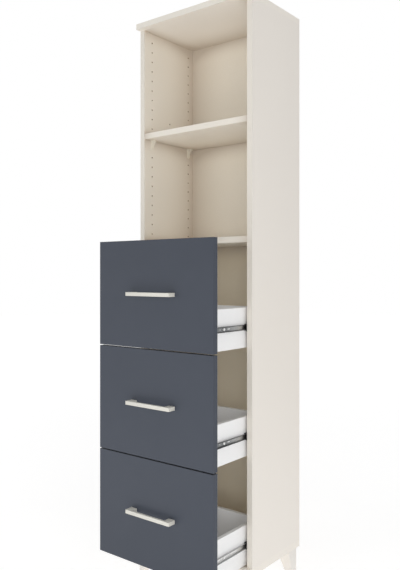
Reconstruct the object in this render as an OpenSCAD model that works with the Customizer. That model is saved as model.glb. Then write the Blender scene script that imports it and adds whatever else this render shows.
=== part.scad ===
/* [Carcass] */
// Width across the outer faces of the side panels
cabinet_w = 450; // [380:1:700]
// Depth of the side panels, front edge to rear edge
side_depth = 270; // [265:1:450]
// Height of the side panels, between the bottom and top panels
side_h = 1664; // [1480:1:2000]
// Thickness of the side, top and shelf boards
board = 18; // [16:0.5:22]
// Thickness of the bottom panel
bottom_board = 22; // [16:0.5:28]
// How far the top and bottom panels stand out in front of the side panels
panel_overhang = 20; // [19:0.5:30]
// Thickness of the back panel
back_t = 8; // [3:0.5:10]
// Distance from the rear edges of the sides to the back panel
back_inset = 12; // [8:1:20]
// Depth of the groove that the back panel stands in
groove_depth = 6; // [3:0.5:8]

/* [Shelves] */
// Pitch of the shelf pin holes
hole_pitch = 32; // [25:1:40]
// Diameter of a shelf pin hole
pin_hole_d = 5; // [4:0.5:6]
// Depth of a shelf pin hole
pin_hole_depth = 12; // [10:0.5:13]
// Front hole row, behind the front edge of the side
front_row_setback = 37; // [30:1:60]
// Rear hole row, in front of the rear edge of the side
rear_row_setback = 46; // [40:1:80]
// Lone middle hole, behind the front edge of the side
middle_hole_setback = 126; // [90:1:150]
// Hole row, counted from the bottom of the sides, that has the lone middle hole
middle_hole_row = 43; // [36:1:45]
// Hole row that carries the adjustable shelf
shelf_row = 40; // [35:1:44]
// Gap between the adjustable shelf and each wall
shelf_play = 1; // [0.5:0.5:3]

/* [Shelf supports] */
// Width of a shelf support along the wall
support_w = 14; // [10:1:20]
// Reach of a shelf support from the wall
support_reach = 17; // [12:1:25]
// Height of the seat above the pin
support_rise = 24; // [18:1:30]
// Length of the wall plate below the pin
support_drop = 8; // [5:1:12]
// Wall thickness of a shelf support
support_wall = 2.5; // [2:0.5:4]
// Length of the pin in the hole
support_pin_len = 9; // [6:0.5:9.5]

/* [Drawer fronts] */
// Height of one drawer front
front_h = 316; // [220:1:330]
// Thickness of a drawer front
front_t = 18; // [16:0.5:19]
// Gap between two fronts
front_gap = 3.5; // [2:0.5:6]
// Gap between the lowest front and the bottom panel
front_reveal = 2; // [1:0.5:5]
// Gap between a front's side edge and the carcass's outer face
front_side_gap = 2; // [0:0.5:5]
// How far the highest front covers the edge of the fixed shelf
shelf_cover = 6; // [2:1:10]
// How far the drawers stand open
drawer_open = 160; // [0:1:172]
// Full travel of a drawer
drawer_travel = 172; // [172:1:180]

/* [Drawer boxes] */
// Height of the box walls
box_h = 117; // [80:1:150]
// Thickness of the box walls
box_board = 12; // [10:0.5:16]
// Thickness of the box bottom
bottom_t = 6; // [3:0.5:8]
// Height of the box bottom above the lower edge of the walls
bottom_rise = 10; // [8:1:20]
// Depth of the groove that the box bottom stands in
bottom_groove = 5; // [3:0.5:6]
// Height of the box above the lower edge of its front
box_lift = 1; // [0:0.5:10]
// Space between the closed box and the back panel
box_rear_space = 8; // [4:1:20]

/* [Handles] */
// Length of a handle
handle_len = 171; // [168:1:190]
// Height of the handle bar
handle_h = 11; // [9:1:20]
// How far a handle stands out from its front
handle_projection = 26; // [20:1:35]
// Thickness of the bar
handle_bar_t = 7; // [5:0.5:10]
// Width of a handle foot
handle_foot_w = 22; // [14:1:26]
// Distance between the two handle screws
handle_pitch = 160; // [158:1:162]
// Radius of the handle's outer corners
handle_corner_r = 1.5; // [0.5:0.5:2.5]

/* [Runners] */
// Space for a runner on each side of the box
runner_gap = 10; // [9.5:0.5:13]
// Sheet thickness of the runner rails
rail_sheet = 1.2; // [1:0.1:1.2]
// Height of the rail on the side panel
cabinet_rail_h = 27; // [27:0.5:30]
// Height of the rail on the drawer box
box_rail_h = 14; // [13:0.5:16]
// Height of the runner's middle above the middle of the box wall
rail_rise = 1.5; // [0:0.5:5]
// Gap between the front edge of the side and its rail
rail_setback = 10; // [8:1:14]
// Gap between the rail on the side panel and the back panel
rail_rear_space = 6; // [2:1:12]
// Length of a ball cage
cage_len = 120; // [90:1:120]
// Thickness of the cage sheet
cage_t = 0.7; // [0.5:0.1:0.8]
// Number of balls in one row of a cage
balls_per_row = 6; // [3:1:8]
// Distance between two balls
ball_pitch = 18; // [8:1:18]
// Height of the black end piece of a rail
stop_h = 19; // [19:0.5:23]
// Length of the end piece in front of the rail
stop_nose = 11.5; // [9:0.5:11.5]
// Length of the end piece inside the rail
stop_tail = 8; // [5:1:10]

/* [Fasteners] */
// Diameter of the wooden dowels
dowel_d = 8; // [6:0.5:9]
// Length of a dowel
dowel_len = 30; // [28:1:36]
// Diameter of the small screws
screw_d = 3.5; // [3:0.5:4]
// Diameter of the small screw heads
screw_head_d = 7; // [6:0.5:8]
// Length of a rail screw in the side panel
rail_screw_len = 14; // [10:1:15]
// Diameter of the handle screws
handle_screw_d = 4; // [3:0.5:5]
// Length of a handle screw inside the foot
handle_screw_grip = 10; // [6:1:14]

/* [Legs] */
// Height of a leg without its glide
leg_h = 113; // [80:1:180]
// Side of a leg at its top
leg_top = 49; // [35:1:60]
// Side of a leg at its foot
leg_foot = 18; // [16:1:30]
// Distance from the edges of the bottom panel to a leg
leg_inset = 7; // [0:1:20]
// Diameter of a leg bolt
leg_bolt_d = 8; // [6:1:10]
// Length of a leg bolt inside the leg
leg_bolt_grip = 40; // [20:1:50]
// Thickness of the glide under a leg
glide_t = 3; // [2:0.5:5]
// Diameter of a glide
glide_d = 14; // [10:1:15]

/* [Hidden] */
$fn = 48;

// Colours of the finishes
cream = [0.89, 0.87, 0.83];
slate = [0.33, 0.35, 0.39];
box_white = [0.94, 0.94, 0.94];
steel = [0.62, 0.63, 0.64];
nickel = [0.88, 0.87, 0.83];
black_plastic = [0.06, 0.06, 0.06];
beech = [0.80, 0.66, 0.47];

// Clearances and how far a cutter reaches past a face
fit_play = 0.05;
groove_play = 0.2;
end_play = 0.5;
past = 1;

// Main levels and planes; y = 0 is the front edge of the sides
leg_total = leg_h + glide_t;
side_base = leg_total + bottom_board;
side_top = side_base + side_h;
inner_w = cabinet_w - 2 * board;
inner_depth = side_depth - back_inset - back_t;
panel_depth = side_depth + panel_overhang;
front_plane = -panel_overhang - drawer_open - handle_projection;
mid_y = (side_depth + front_plane) / 2;

// Drawer fronts lie flush with the edges of the top and bottom panels
drawer_count = 3;
front_w = cabinet_w - 2 * front_side_gap;
front_back_y = front_t - panel_overhang;
stack_top = front_reveal + drawer_count * front_h + (drawer_count - 1) * front_gap;
function front_base(i) = side_base + front_reveal + i * (front_h + front_gap);

// Shelves and hole rows
fixed_shelf_z = side_base + stack_top - shelf_cover;
fixed_shelf_mid = fixed_shelf_z + board / 2;
first_row = ceil((fixed_shelf_z + board + pin_hole_d - side_base) / hole_pitch);
last_row = floor(side_h / hole_pitch) - 1;
rear_row_y = side_depth - rear_row_setback;
row_depths = [front_row_setback, rear_row_y];
function row_z(row) = side_base + row * hole_pitch;
adjustable_shelf_z = row_z(shelf_row) + support_rise;
adjustable_shelf_w = inner_w - 2 * shelf_play;
support_web_extra = 1;
support_web_t = support_wall + support_web_extra;

// Drawer boxes
box_w = inner_w - 2 * runner_gap;
box_len = inner_depth - box_rear_space - front_back_y;
box_inner_w = box_w - 2 * box_board;
box_inner_len = box_len - 2 * box_board;
box_rear_y = front_back_y + box_len;
rail_mid = box_lift + box_h / 2 + rail_rise;
bottom_slot_t = bottom_t + groove_play;
floor_tuck = bottom_groove - groove_play;

// Dowels: deeper in the board's end than in its face
dowel_face_grip = 12;
dowel_end_grip = dowel_len - dowel_face_grip;
dowel_front_inset = 50;
dowel_rear_inset = 60;
dowel_ys = [dowel_front_inset, side_depth - dowel_rear_inset];
dowel_x = (cabinet_w - board) / 2;

// Runner section, measured from the side panel (0) to the box (runner_gap)
cabinet_rail_len = inner_depth - rail_setback - rail_rear_space;
box_rail_margin = 2;
box_rail_len = box_len - 2 * box_rail_margin;
box_rail_y = front_back_y + box_rail_margin;
cabinet_half = cabinet_rail_h / 2;
race_half = cabinet_half - rail_sheet;
box_half = box_rail_h / 2;
rail_face = runner_gap - rail_sheet;
ball_gap = race_half - box_half;
ball_play = 0.1;
ball_r = ball_gap / 2 - ball_play;
ball_z = box_half + ball_gap / 2;
box_rail_edge = 2.6;
cabinet_lip_gap = 0.6;
cabinet_lip_x = runner_gap - cabinet_lip_gap - rail_sheet;
ball_x = (box_rail_edge + rail_sheet + cabinet_lip_x) / 2;
// Lips hold the balls in, and are shorter where the balls are larger
lip_reach = 1.1;
ball_side_room = (cabinet_lip_x - box_rail_edge - rail_sheet) / 2;
ball_half_gap = ball_gap / 2;
ball_clear_z = sqrt(max(0, pow(ball_half_gap, 2) - pow(ball_side_room, 2)));
lip = min(lip_reach, ball_half_gap - ball_clear_z);
cage_web_gap = 0.3;
cage_x = rail_sheet + cage_web_gap;
cage_arm_z = ball_z - cage_t / 2;
cage_arm_margin = 0.4;
cage_arm_end = ball_x + ball_r + cage_arm_margin;
ball_row_len = (balls_per_row - 1) * ball_pitch;
stop_rear = rail_setback + stop_tail;
cage_stop_gap = 2;
cage_front = stop_rear + cage_stop_gap + drawer_travel / 2;
rail_play = 0.4;

// Rail screws sit at the front hole row of the side and just in front of the rear one
rear_screw_shift = 3;
cabinet_screw_ys = [front_row_setback, rear_row_y - rear_screw_shift];
head_cone = (screw_head_d - screw_d) / 2;
screw_head_t = 2;
// Fixing points on the box rail, behind its front end
box_screw_front = 59.5;
box_screw_rear = 40;
box_screw_head_d = 8.6;
box_screw_head_t = 3;
box_hole_front = 42.5;
box_slot_front = 78.5;
box_slot_len = 10;
box_hole_d = 4.5;
box_slot_d = 2.6;
box_screw_grip = 9;
box_screw_ys = [box_rail_y + box_screw_front, box_rail_y + box_rail_len - box_screw_rear];

// Screws that hold a front to its box, and the handle screws
front_screw_inset = 55;
front_screw_x = box_w / 2 - front_screw_inset;
front_screw_xs = [-front_screw_x, front_screw_x];
front_screw_low = 32;
front_screw_high = 22;
front_screw_zs = [box_lift + front_screw_low, box_lift + box_h - front_screw_high];
front_screw_grip = 12;
handle_head_d = 9;
handle_head_t = 2.2;
handle_xs = [-handle_pitch / 2, handle_pitch / 2];
handle_z = front_h / 2;

// Glide pin in the leg
glide_pin_d = 3;
glide_pin_len = 12;
leg_bolt_cover = 5;
leg_bolt_top = bottom_board - leg_bolt_cover;

// Places a piece of the carcass, of a drawer, or of a pair of ball cages
module on_carcass() {
  translate([0, -mid_y, 0]) children();
}
module on_drawer(i) {
  translate([0, -mid_y - drawer_open, front_base(i)]) children();
}
module on_cages(i) {
  translate([0, -mid_y - drawer_open / 2, front_base(i)]) children();
}

// Puts a shape that is drawn inward from a wall on the left (-1) or right (1) wall
module on_wall(side) {
  translate([side * inner_w / 2, 0, 0]) mirror([side > 0 ? 1 : 0, 0, 0]) children();
}
module on_both_walls() {
  for (side = [-1, 1]) on_wall(side) children();
}

// A round hole that runs into the wall from its inner face
module wall_hole(d, depth) {
  translate([-depth, 0, 0]) rotate([0, 90, 0]) cylinder(d = d, h = depth + past);
}

// A wood screw along +Z with a countersunk head at z = 0
module countersunk_screw(d, head_d, len, grow = 0) {
  cylinder(d1 = head_d + 2 * grow, d2 = d + 2 * grow, h = (head_d - d) / 2);
  cylinder(d = d + 2 * grow, h = len + grow);
}

// A screw along +Z with a round flat head below z = 0
module pan_screw(d, head_d, head_t, len) {
  translate([0, 0, -head_t]) cylinder(d = head_d, h = head_t);
  cylinder(d = d, h = len);
}

// Carcass boards
module pin_holes() {
  for (row = [first_row:last_row], y = row_depths)
    translate([0, y, row_z(row)]) wall_hole(pin_hole_d, pin_hole_depth);
  translate([0, middle_hole_setback, row_z(middle_hole_row)]) wall_hole(pin_hole_d, pin_hole_depth);
}

module back_groove() {
  translate([-groove_depth, inner_depth - groove_play / 2, side_base - past])
    cube([groove_depth + past, back_t + groove_play, side_h + 2 * past]);
}

module shelf_dowel_holes() {
  for (y = dowel_ys)
    translate([0, y, fixed_shelf_mid])
      wall_hole(dowel_d + 2 * fit_play, dowel_face_grip + end_play);
}

module end_dowel_holes() {
  depth = dowel_end_grip + end_play;
  for (y = dowel_ys, z = [side_base - past, side_top - depth])
    translate([-board / 2, y, z]) cylinder(d = dowel_d + 2 * fit_play, h = depth + past);
}

module cabinet_screw_places() {
  for (i = [0:drawer_count - 1], y = cabinet_screw_ys)
    translate([rail_sheet, y, front_base(i) + rail_mid]) rotate([0, -90, 0]) children();
}

module side_panel(side) {
  color(cream) on_carcass() on_wall(side) difference() {
    translate([-board, 0, side_base]) cube([board, side_depth, side_h]);
    back_groove();
    pin_holes();
    shelf_dowel_holes();
    end_dowel_holes();
    cabinet_screw_places()
      countersunk_screw(screw_d, screw_head_d, rail_screw_len + end_play, fit_play);
  }
}

module flat_panel(thickness) {
  translate([-cabinet_w / 2, -panel_overhang, 0]) cube([cabinet_w, panel_depth, thickness]);
}

module panel_groove() {
  reach = inner_w + 2 * groove_depth;
  translate([-reach / 2, inner_depth - groove_play / 2, 0])
    cube([reach, back_t + groove_play, groove_depth + past]);
}

module face_dowel_holes(z) {
  for (x = [-dowel_x, dowel_x], y = dowel_ys)
    translate([x, y, z]) cylinder(d = dowel_d + 2 * fit_play, h = dowel_face_grip + end_play + past);
}

module top_panel() {
  color(cream) on_carcass() difference() {
    translate([0, 0, side_top]) flat_panel(board);
    translate([0, 0, side_top - past]) panel_groove();
    face_dowel_holes(side_top - past);
  }
}

module bottom_panel() {
  color(cream) on_carcass() difference() {
    translate([0, 0, leg_total]) flat_panel(bottom_board);
    translate([0, 0, side_base - groove_depth]) panel_groove();
    face_dowel_holes(side_base - dowel_face_grip - end_play);
    leg_bolt_places() cylinder(d = leg_bolt_d + 2 * fit_play, h = leg_bolt_top + end_play);
  }
}

module back_panel() {
  tuck = groove_depth - groove_play;
  w = inner_w + 2 * tuck;
  color(cream) on_carcass() translate([-w / 2, inner_depth, side_base - tuck])
    cube([w, back_t, side_h + 2 * tuck]);
}

module fixed_shelf() {
  depth = dowel_end_grip + end_play;
  color(cream) on_carcass() difference() {
    translate([-inner_w / 2, 0, fixed_shelf_z]) cube([inner_w, inner_depth, board]);
    on_both_walls() for (y = dowel_ys)
      translate([depth, y, fixed_shelf_mid]) wall_hole(dowel_d + 2 * fit_play, depth + past);
  }
}

module adjustable_shelf() {
  color(cream) on_carcass() translate([-adjustable_shelf_w / 2, 0, adjustable_shelf_z])
    cube([adjustable_shelf_w, inner_depth - shelf_play, board]);
}

// Shelf support: wall plate, seat and gusset, with a pin in the wall
module shelf_support() {
  rise = support_rise;
  translate([0, -support_w / 2, -support_drop])
    cube([support_wall, support_w, support_drop + rise]);
  translate([0, -support_w / 2, rise - support_wall]) cube([support_reach, support_w, support_wall]);
  translate([0, support_web_t / 2, 0]) rotate([90, 0, 0]) linear_extrude(support_web_t)
    polygon([
      [support_wall / 2, rise - support_wall / 2],
      [support_wall / 2, -support_drop / 2],
      [support_wall, -support_drop / 2],
      [support_reach - support_wall / 2, rise - support_wall],
      [support_reach - support_wall / 2, rise - support_wall / 2]
    ]);
  translate([-support_pin_len, 0, 0]) rotate([0, 90, 0])
    cylinder(d = pin_hole_d - 2 * fit_play, h = support_pin_len + support_wall / 2);
}

module shelf_supports() {
  color(cream) on_carcass() on_both_walls() for (y = row_depths)
    translate([0, y, row_z(shelf_row)]) shelf_support();
}

module carcass_dowels() {
  color(beech) on_carcass() {
    for (x = [-dowel_x, dowel_x], y = dowel_ys) {
      translate([x, y, side_base - dowel_face_grip]) cylinder(d = dowel_d, h = dowel_len);
      translate([x, y, side_top - dowel_end_grip]) cylinder(d = dowel_d, h = dowel_len);
    }
    on_both_walls() for (y = dowel_ys)
      translate([-dowel_face_grip, y, fixed_shelf_mid]) rotate([0, 90, 0])
        cylinder(d = dowel_d, h = dowel_len);
  }
}

// Legs: square, with plumb outer faces and tapered inner faces
module leg_profile() {
  polygon([[0, 0], [leg_foot, 0], [leg_top, leg_h], [0, leg_h]]);
}

// Puts a corner that is drawn inward from x = 0, y = 0 under a corner of the bottom panel
module at_leg(side, rear) {
  x = side * (cabinet_w / 2 - leg_inset);
  y = rear ? side_depth - leg_inset : leg_inset - panel_overhang;
  translate([x, y, 0]) mirror([side > 0 ? 1 : 0, 0, 0]) mirror([0, rear ? 1 : 0, 0]) children();
}

module at_all_legs() {
  for (side = [-1, 1], rear = [false, true]) at_leg(side, rear) children();
}

module leg_bolt_places() {
  at_all_legs() translate([leg_top / 2, leg_top / 2, leg_total]) children();
}

module leg(side, rear) {
  color(cream) on_carcass() at_leg(side, rear) translate([0, 0, glide_t]) difference() {
    intersection() {
      translate([0, leg_top, 0]) rotate([90, 0, 0]) linear_extrude(leg_top) leg_profile();
      rotate([90, 0, 90]) linear_extrude(leg_top) leg_profile();
    }
    translate([leg_top / 2, leg_top / 2, leg_h - leg_bolt_grip - end_play])
      cylinder(d = leg_bolt_d + 2 * fit_play, h = leg_bolt_grip + end_play + past);
    translate([leg_foot / 2, leg_foot / 2, -past])
      cylinder(d = glide_pin_d + 2 * fit_play, h = glide_pin_len + end_play + past);
  }
}

module leg_bolts() {
  color(steel) on_carcass() leg_bolt_places() translate([0, 0, -leg_bolt_grip])
    cylinder(d = leg_bolt_d, h = leg_bolt_grip + leg_bolt_top);
}

module leg_glides() {
  color(black_plastic) on_carcass() at_all_legs() translate([leg_foot / 2, leg_foot / 2, 0]) {
    cylinder(d = glide_d, h = glide_t);
    cylinder(d = glide_pin_d, h = glide_t + glide_pin_len);
  }
}

// Runner rails
module mirrored_up_down() {
  children();
  mirror([0, 1, 0]) children();
}

// Extrudes a section drawn with x from the wall and y upwards along the cabinet's depth
module along_depth(y, len) {
  translate([0, y + len, 0]) rotate([90, 0, 0]) linear_extrude(len) children();
}

module cabinet_rail_section() {
  flange_end = cabinet_lip_x + rail_sheet;
  translate([0, -cabinet_half]) square([rail_sheet, cabinet_rail_h]);
  mirrored_up_down() {
    translate([0, race_half]) square([flange_end, rail_sheet]);
    translate([cabinet_lip_x, race_half - lip]) square([rail_sheet, lip + rail_sheet]);
  }
}

module box_rail_section() {
  translate([rail_face, -box_half]) square([rail_sheet, box_rail_h]);
  mirrored_up_down() {
    translate([box_rail_edge, box_half - rail_sheet]) square([runner_gap - box_rail_edge, rail_sheet]);
    translate([box_rail_edge, box_half - rail_sheet]) square([rail_sheet, rail_sheet + lip]);
  }
}

module cabinet_rails(i) {
  color(steel) on_carcass() on_both_walls() difference() {
    translate([0, 0, front_base(i) + rail_mid])
      along_depth(rail_setback, cabinet_rail_len) cabinet_rail_section();
    cabinet_screw_places() translate([0, 0, -fit_play])
      countersunk_screw(screw_d, screw_head_d, rail_screw_len, fit_play);
  }
}

module cabinet_rail_screws() {
  color(steel) on_carcass() on_both_walls() cabinet_screw_places()
    countersunk_screw(screw_d, screw_head_d, rail_screw_len);
}

// Black end piece that plugs into the front of a cabinet rail
module rail_end_piece() {
  nose_end = cabinet_lip_x + rail_sheet;
  cavity_x = box_rail_edge - rail_play;
  cavity_half = box_half + rail_play;
  difference() {
    union() {
      along_depth(rail_setback - stop_nose, stop_nose)
        translate([0, -stop_h / 2]) square([nose_end, stop_h]);
      along_depth(rail_setback - past, stop_tail + past)
        translate([rail_sheet, -race_half]) square([cavity_x - rail_sheet, 2 * race_half]);
    }
    along_depth(rail_setback - stop_nose - past, stop_nose + past)
      translate([cavity_x, -cavity_half]) square([runner_gap, 2 * cavity_half]);
    along_depth(rail_setback - stop_nose - past, stop_nose + past)
      translate([cavity_x, -cavity_half - lip]) square([rail_sheet + 2 * rail_play, 2 * (cavity_half + lip)]);
  }
}

module rail_end_pieces() {
  color(black_plastic) on_carcass() on_both_walls() for (i = [0:drawer_count - 1])
    translate([0, 0, front_base(i) + rail_mid]) rail_end_piece();
}

module box_screw_places() {
  for (y = box_screw_ys)
    translate([rail_face, y, rail_mid]) rotate([0, 90, 0]) children();
}

module box_rail_openings() {
  y = box_rail_y + box_slot_front;
  translate([0, box_rail_y + box_hole_front, rail_mid]) rotate([0, 90, 0])
    cylinder(d = box_hole_d, h = runner_gap + past);
  for (end = [0, box_slot_len]) translate([0, y + end, rail_mid]) rotate([0, 90, 0])
    cylinder(d = box_slot_d, h = runner_gap + past);
  translate([0, y, rail_mid - box_slot_d / 2]) cube([runner_gap + past, box_slot_len, box_slot_d]);
}

module box_rails(i) {
  color(steel) on_drawer(i) on_both_walls() difference() {
    translate([0, 0, rail_mid]) along_depth(box_rail_y, box_rail_len) box_rail_section();
    box_rail_openings();
    box_screw_places() translate([0, 0, -past])
      cylinder(d = screw_d + 2 * fit_play, h = rail_sheet + 2 * past);
  }
}

module rail_screws(i) {
  color(steel) on_drawer(i) on_both_walls() box_screw_places()
    pan_screw(screw_d, box_screw_head_d, box_screw_head_t, rail_sheet + box_screw_grip);
}

// Ball cages: a web with an arm above and below, each with a row of ball pockets
module ball_places() {
  start = cage_front + (cage_len - ball_row_len) / 2;
  for (n = [0:balls_per_row - 1], z = [-ball_z, ball_z])
    translate([ball_x, start + n * ball_pitch, rail_mid + z]) children();
}

module cage_section() {
  translate([cage_x, -cage_arm_z - cage_t]) square([cage_t, 2 * (cage_arm_z + cage_t)]);
  mirrored_up_down() translate([cage_x, cage_arm_z]) square([cage_arm_end - cage_x, cage_t]);
}

module ball_cages(i) {
  color(steel) on_cages(i) on_both_walls() difference() {
    translate([0, 0, rail_mid]) along_depth(cage_front, cage_len) cage_section();
    ball_places() translate([0, 0, -cage_t])
      cylinder(r = ball_r + fit_play, h = 2 * cage_t);
  }
}

module cage_balls(i) {
  color(steel) on_cages(i) on_both_walls() ball_places() sphere(r = ball_r);
}

// Drawer front with its handle
module drawer_front(i) {
  color(slate) on_drawer(i) difference() {
    translate([-front_w / 2, -panel_overhang, 0]) cube([front_w, front_t, front_h]);
    for (x = handle_xs) translate([x, front_back_y + past, handle_z]) rotate([90, 0, 0])
      cylinder(d = handle_screw_d + 2 * fit_play, h = front_t + 2 * past);
    for (x = front_screw_xs, z = front_screw_zs)
      translate([x, front_back_y + past, z]) rotate([90, 0, 0])
        cylinder(d = screw_d + 2 * fit_play, h = front_screw_grip + end_play + past);
  }
}

module handle_outline() {
  r = handle_corner_r;
  half = handle_len / 2;
  for (x = [-half + r, half - r]) translate([x, r]) circle(r = r);
  translate([-half + r, 0]) square([handle_len - 2 * r, handle_bar_t]);
  for (x = [-half, half - handle_foot_w])
    translate([x, r]) square([handle_foot_w, handle_projection - r]);
}

module drawer_handle(i) {
  color(nickel) on_drawer(i) difference() {
    translate([0, -panel_overhang - handle_projection, handle_z - handle_h / 2])
      linear_extrude(handle_h) handle_outline();
    for (x = handle_xs) translate([x, past - panel_overhang, handle_z]) rotate([90, 0, 0])
      cylinder(d = handle_screw_d + 2 * fit_play, h = handle_screw_grip + end_play + past);
  }
}

module handle_screws(i) {
  color(steel) on_drawer(i) for (x = handle_xs)
    translate([x, front_back_y, handle_z]) rotate([90, 0, 0])
      pan_screw(handle_screw_d, handle_head_d, handle_head_t, front_t + handle_screw_grip);
}

// Drawer box: two sides, front and back walls between them, and a floor in a groove
module floor_groove() {
  w = box_inner_w + 2 * bottom_groove;
  len = box_inner_len + 2 * bottom_groove;
  translate([-w / 2, front_back_y + box_board - bottom_groove, box_lift + bottom_rise])
    cube([w, len, bottom_slot_t]);
}

module box_side(i, side) {
  x = side > 0 ? box_w / 2 - box_board : -box_w / 2;
  color(box_white) on_drawer(i) difference() {
    translate([x, front_back_y, box_lift]) cube([box_board, box_len, box_h]);
    floor_groove();
    on_wall(side) box_screw_places()
      cylinder(d = screw_d + 2 * fit_play, h = rail_sheet + box_screw_grip + end_play);
  }
}

module box_cross_wall(y) {
  translate([-box_inner_w / 2, y, box_lift]) cube([box_inner_w, box_board, box_h]);
}

module box_front(i) {
  color(box_white) on_drawer(i) difference() {
    box_cross_wall(front_back_y);
    floor_groove();
    front_screw_places() translate([0, 0, -past])
      cylinder(d = screw_d + 2 * fit_play, h = box_board + 2 * past);
  }
}

module box_back(i) {
  color(box_white) on_drawer(i) difference() {
    box_cross_wall(box_rear_y - box_board);
    floor_groove();
  }
}

module box_floor(i) {
  w = box_inner_w + 2 * floor_tuck;
  len = box_inner_len + 2 * floor_tuck;
  color(box_white) on_drawer(i)
    translate([-w / 2, front_back_y + box_board - floor_tuck, box_lift + bottom_rise])
      cube([w, len, bottom_t]);
}

module front_screw_places() {
  for (x = front_screw_xs, z = front_screw_zs)
    translate([x, front_back_y + box_board, z]) rotate([90, 0, 0]) children();
}

module front_screws(i) {
  color(steel) on_drawer(i) front_screw_places()
    pan_screw(screw_d, screw_head_d, screw_head_t, box_board + front_screw_grip);
}

side_panel(-1);  // side_left
side_panel(1);  // side_right
top_panel();
bottom_panel();
back_panel();
fixed_shelf();
adjustable_shelf();
shelf_supports();
carcass_dowels();
leg(-1, false);  // leg_front_left
leg(1, false);  // leg_front_right
leg(-1, true);  // leg_rear_left
leg(1, true);  // leg_rear_right
leg_bolts();
leg_glides();
rail_end_pieces();
cabinet_rail_screws();
cabinet_rails(0);  // bottom_cabinet_rails
cabinet_rails(1);  // middle_cabinet_rails
cabinet_rails(2);  // top_cabinet_rails
drawer_front(0);  // bottom_drawer_front
drawer_front(1);  // middle_drawer_front
drawer_front(2);  // top_drawer_front
drawer_handle(0);  // bottom_drawer_handle
drawer_handle(1);  // middle_drawer_handle
drawer_handle(2);  // top_drawer_handle
handle_screws(0);  // bottom_handle_screws
handle_screws(1);  // middle_handle_screws
handle_screws(2);  // top_handle_screws
box_front(0);  // bottom_box_front
box_front(1);  // middle_box_front
box_front(2);  // top_box_front
box_side(0, -1);  // bottom_box_left
box_side(1, -1);  // middle_box_left
box_side(2, -1);  // top_box_left
box_side(0, 1);  // bottom_box_right
box_side(1, 1);  // middle_box_right
box_side(2, 1);  // top_box_right
box_back(0);  // bottom_box_back
box_back(1);  // middle_box_back
box_back(2);  // top_box_back
box_floor(0);  // bottom_box_floor
box_floor(1);  // middle_box_floor
box_floor(2);  // top_box_floor
front_screws(0);  // bottom_front_screws
front_screws(1);  // middle_front_screws
front_screws(2);  // top_front_screws
box_rails(0);  // bottom_box_rails
box_rails(1);  // middle_box_rails
box_rails(2);  // top_box_rails
rail_screws(0);  // bottom_rail_screws
rail_screws(1);  // middle_rail_screws
rail_screws(2);  // top_rail_screws
ball_cages(0);  // bottom_ball_cages
ball_cages(1);  // middle_ball_cages
ball_cages(2);  // top_ball_cages
cage_balls(0);  // bottom_cage_balls
cage_balls(1);  // middle_cage_balls
cage_balls(2);  // top_cage_balls
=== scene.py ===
import math

import bmesh
import bpy
from mathutils import Matrix, Vector


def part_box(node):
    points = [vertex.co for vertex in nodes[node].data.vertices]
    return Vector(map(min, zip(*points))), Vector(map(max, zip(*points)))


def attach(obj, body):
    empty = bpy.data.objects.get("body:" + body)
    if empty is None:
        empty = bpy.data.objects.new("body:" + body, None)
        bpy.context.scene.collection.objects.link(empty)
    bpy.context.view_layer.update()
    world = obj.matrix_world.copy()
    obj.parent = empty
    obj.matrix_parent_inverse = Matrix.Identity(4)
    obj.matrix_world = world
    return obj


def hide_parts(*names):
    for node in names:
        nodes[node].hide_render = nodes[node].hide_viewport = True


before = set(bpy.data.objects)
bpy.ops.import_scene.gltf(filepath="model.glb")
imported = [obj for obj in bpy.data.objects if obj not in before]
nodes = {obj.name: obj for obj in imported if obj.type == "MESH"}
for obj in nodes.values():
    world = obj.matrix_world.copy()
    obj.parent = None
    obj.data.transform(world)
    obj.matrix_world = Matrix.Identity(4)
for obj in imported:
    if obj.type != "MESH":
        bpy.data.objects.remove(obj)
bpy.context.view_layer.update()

scene = bpy.context.scene
mm = 0.001
drawers = ("bottom", "middle", "top")
walls = (-1, 1)  # left and right inner wall of the cabinet
print("frame loaded:", len(nodes), "nodes")


def srgb(red, green, blue):
    # a colour as it reads on screen, 0 to 255, made linear
    parts = [v / 255 for v in (red, green, blue)]
    return tuple(v / 12.92 if v <= 0.04045 else ((v + 0.055) / 1.055) ** 2.4 for v in parts) + (1.0,)


def addNode(tree, kind, values=None, **settings):
    node = tree.nodes.new(kind)
    for key, value in settings.items():
        setattr(node, key, value)
    for key, value in (values or {}).items():
        node.inputs[key].default_value = value
    return node


def wire(tree, *pairs):
    # links each output to its input
    for start, end in pairs:
        tree.links.new(start, end)


surface = {  # what the finishes share
    "cut": (0.3, 0.7),  # the part of a pattern's range that is stretched to 0 to 1
    "detail": 3.0,
    "cellBlend": 0.6,
    "coreEdge": 0.1 * mm,
    "cornerPower": 2.0,
    "coatRoughness": 0.2,
}


def patternNode(tree, place, layer):
    # a grey pattern from 0 to 1; size is the length of one feature in metres along x, y and z
    mapping = addNode(tree, "ShaderNodeMapping", {"Scale": [1 / v for v in layer["size"]]})
    if layer["kind"] == "cells":
        values = {"Scale": 1.0, "Smoothness": surface["cellBlend"]}
        texture = addNode(tree, "ShaderNodeTexVoronoi", values, feature="SMOOTH_F1")
        grey = texture.outputs["Distance"]
    else:
        values = {"Scale": 1.0, "Detail": layer.get("detail", surface["detail"])}
        texture = addNode(tree, "ShaderNodeTexNoise", values)
        grey = texture.outputs["Fac"]
    low, high = layer.get("cut", surface["cut"])
    ramp = addNode(tree, "ShaderNodeMapRange", {"From Min": low, "From Max": high}, clamp=True)
    wire(tree, (place, mapping.inputs["Vector"]), (mapping.outputs["Vector"], texture.inputs["Vector"]),
         (grey, ramp.inputs["Value"]))
    return ramp.outputs["Result"]


def axisNode(tree, place, axis):
    # one coordinate of the place
    split = addNode(tree, "ShaderNodeSeparateXYZ")
    tree.links.new(place, split.inputs["Vector"])
    return split.outputs[axis]


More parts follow.
